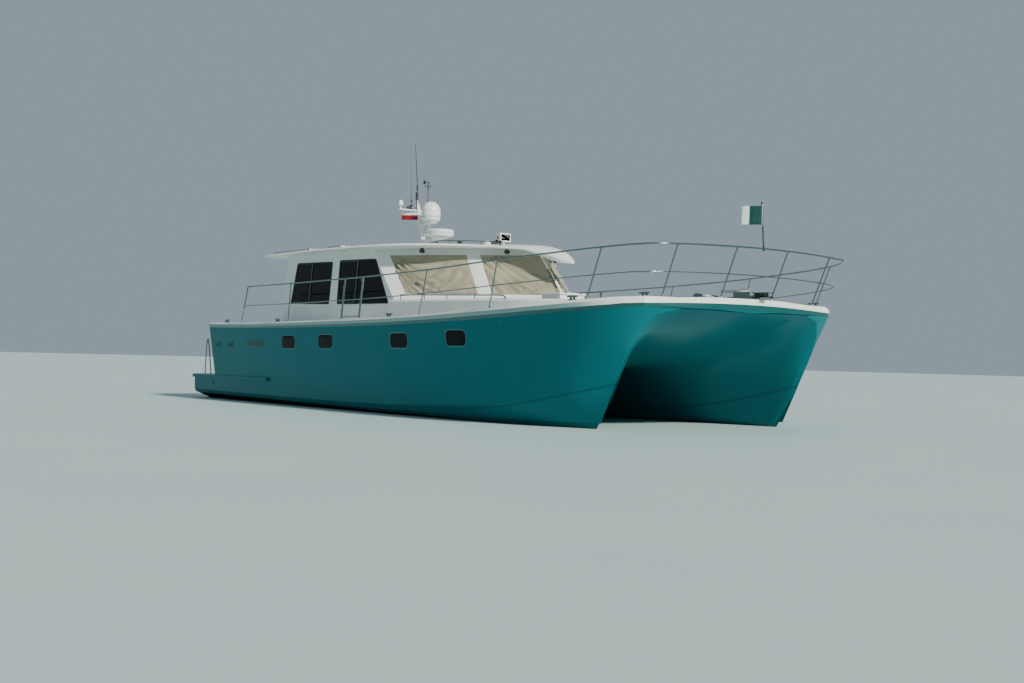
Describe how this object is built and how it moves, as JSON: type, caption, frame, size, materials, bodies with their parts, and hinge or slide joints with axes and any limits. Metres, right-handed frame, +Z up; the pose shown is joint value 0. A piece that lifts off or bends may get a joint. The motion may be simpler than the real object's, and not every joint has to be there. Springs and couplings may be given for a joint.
{
  "type": "power catamaran",
  "caption": "Power catamaran afloat: two slim hulls under a bridgedeck with saloon, roof and mast, rails round the deck, shaft drive and rudders.",
  "frame": {"origin": "amidships on the centreline, on the waterline", "axes": "+X to the bow, +Y to port, +Z up"},
  "size_m": [15.6194, 6.0938, 6.7066],
  "materials": {
    "hull_paint": "glossy teal paint over moulded laminate",
    "white_gelcoat": "white gelcoat, satin where it is trodden",
    "tinted_glass": "dark tinted toughened glass",
    "smoked_acrylic": "smoked acrylic in an aluminium frame",
    "canvas": "woven cream acrylic canvas",
    "stainless": "polished stainless tube",
    "engine_paint": "grey engine enamel",
    "bronze": "cast bronze, dulled by the sea",
    "galvanised": "hot-dip galvanised steel",
    "solar_cells": "dark cells under glass in an aluminium frame",
    "black_plastic": "black moulded plastic",
    "flag_cloth": "woven polyester flag cloth",
    "red_cloth": "woven polyester flag cloth",
    "upholstery": "soft vinyl upholstery",
    "joinery": "varnished teak joinery"
  },
  "bodies": {
    "boat": {"hull_port": "hull_paint", "hull_starboard": "hull_paint", "bridgedeck": "hull_paint", "deck": "white_gelcoat", "house": "white_gelcoat", "roof": "white_gelcoat", "bulkhead": "white_gelcoat", "window_after_port": "tinted_glass", "window_after_starboard": "tinted_glass", "window_forward_port": "tinted_glass", "window_forward_starboard": "tinted_glass", "bulkhead_window_port": "tinted_glass", "bulkhead_window_starboard": "tinted_glass", "screen_cover_side_port": "canvas", "screen_cover_side_starboard": "canvas", "screen_cover_front_port": "canvas", "screen_cover_front_starboard": "canvas", "transom_stairs_port": "white_gelcoat", "transom_stairs_starboard": "white_gelcoat", "platform_rail_port": "stainless", "platform_rail_starboard": "stainless", "engine_port": "engine_paint", "engine_starboard": "engine_paint", "shaft_bracket_port": "bronze", "shaft_bracket_starboard": "bronze", "after_rail_port": "stainless", "after_rail_starboard": "stainless", "forward_rail": "stainless", "mast": "white_gelcoat", "satellite_dome": "white_gelcoat", "radar": "white_gelcoat", "floodlight": "white_gelcoat", "solar_panel_port": "solar_cells", "solar_panel_starboard": "solar_cells", "windlass": "galvanised", "bow_roller": "stainless", "spare_anchor": "galvanised", "flagstaff": "black_plastic", "bow_flag": "flag_cloth", "ensign": "red_cloth", "helm_console": "white_gelcoat", "helm_seat": "upholstery", "settee": "upholstery", "saloon_table": "joinery", "galley": "joinery"},
    "saloon_door": {"saloon_door": "white_gelcoat", "saloon_door_glass": "tinted_glass"},
    "engine_hatch_port": {"engine_hatch_port": "white_gelcoat"},
    "engine_hatch_starboard": {"engine_hatch_starboard": "white_gelcoat"},
    "trunk_hatch_port": {"trunk_hatch_port": "smoked_acrylic"},
    "trunk_hatch_starboard": {"trunk_hatch_starboard": "smoked_acrylic"},
    "roof_hatch": {"roof_hatch": "white_gelcoat"},
    "propeller_port": {"propeller_port": "bronze"},
    "propeller_starboard": {"propeller_starboard": "bronze"},
    "rudder_port": {"rudder_port": "bronze"},
    "rudder_starboard": {"rudder_starboard": "bronze"},
    "gate_port": {"gate_port": "stainless"},
    "gate_starboard": {"gate_starboard": "stainless"},
    "steering_wheel": {"steering_wheel": "black_plastic"}
  },
  "joints": [
    {"name": "saloon_door_slide", "type": "slide", "parent": "boat", "child": "saloon_door", "axis": [0, 1, 0], "range_m": [0, 0.79]},
    {"name": "engine_hatch_port_hinge", "type": "hinge", "parent": "boat", "child": "engine_hatch_port", "pos_m": [-4.476, 2.05, 1.765], "axis": [0, 1, 0], "range_deg": [0, 80]},
    {"name": "engine_hatch_starboard_hinge", "type": "hinge", "parent": "boat", "child": "engine_hatch_starboard", "pos_m": [-4.476, -2.05, 1.765], "axis": [0, 1, 0], "range_deg": [0, 80]},
    {"name": "trunk_hatch_port_hinge", "type": "hinge", "parent": "boat", "child": "trunk_hatch_port", "pos_m": [3.99, 0.75, 2.27], "axis": [0, 1, 0], "range_deg": [0, 75]},
    {"name": "trunk_hatch_starboard_hinge", "type": "hinge", "parent": "boat", "child": "trunk_hatch_starboard", "pos_m": [3.99, -0.75, 2.27], "axis": [0, 1, 0], "range_deg": [0, 75]},
    {"name": "roof_hatch_hinge", "type": "hinge", "parent": "boat", "child": "roof_hatch", "pos_m": [-2.4, -1.65, 3.377], "axis": [0, 1, 0], "range_deg": [0, 70]},
    {"name": "propeller_port_spin", "type": "hinge", "parent": "boat", "child": "propeller_port", "pos_m": [-6.18, 2.05, -0.6], "axis": [1, 0, 0], "continuous": true},
    {"name": "propeller_starboard_spin", "type": "hinge", "parent": "boat", "child": "propeller_starboard", "pos_m": [-6.18, -2.05, -0.6], "axis": [1, 0, 0], "continuous": true},
    {"name": "rudder_port_steer", "type": "hinge", "parent": "boat", "child": "rudder_port", "pos_m": [-6.76, 2.05, -0.5], "axis": [0, 0, 1], "range_deg": [-35, 35]},
    {"name": "rudder_starboard_steer", "type": "hinge", "parent": "boat", "child": "rudder_starboard", "pos_m": [-6.76, -2.05, -0.5], "axis": [0, 0, 1], "range_deg": [-35, 35]},
    {"name": "steering_wheel_turn", "type": "hinge", "parent": "boat", "child": "steering_wheel", "pos_m": [0.65, -0.82, 1.84], "axis": [1, 0, 0], "range_deg": [-450, 450]},
    {"name": "gate_port_swing", "type": "hinge", "parent": "boat", "child": "gate_port", "pos_m": [-0.534, 2.923, 1.76814], "axis": [0.1672, 0, 0.9859], "range_deg": [0, 110]},
    {"name": "gate_starboard_swing", "type": "hinge", "parent": "boat", "child": "gate_starboard", "pos_m": [-0.534, -2.923, 1.76814], "axis": [-0.1672, 0, -0.9859], "range_deg": [0, 110]}
  ],
  "couplings": [
    {"joint": "rudder_starboard_steer", "follows": "rudder_port_steer", "ratio": 1},
    {"joint": "steering_wheel_turn", "follows": "rudder_port_steer", "ratio": 12.8}
  ]
}
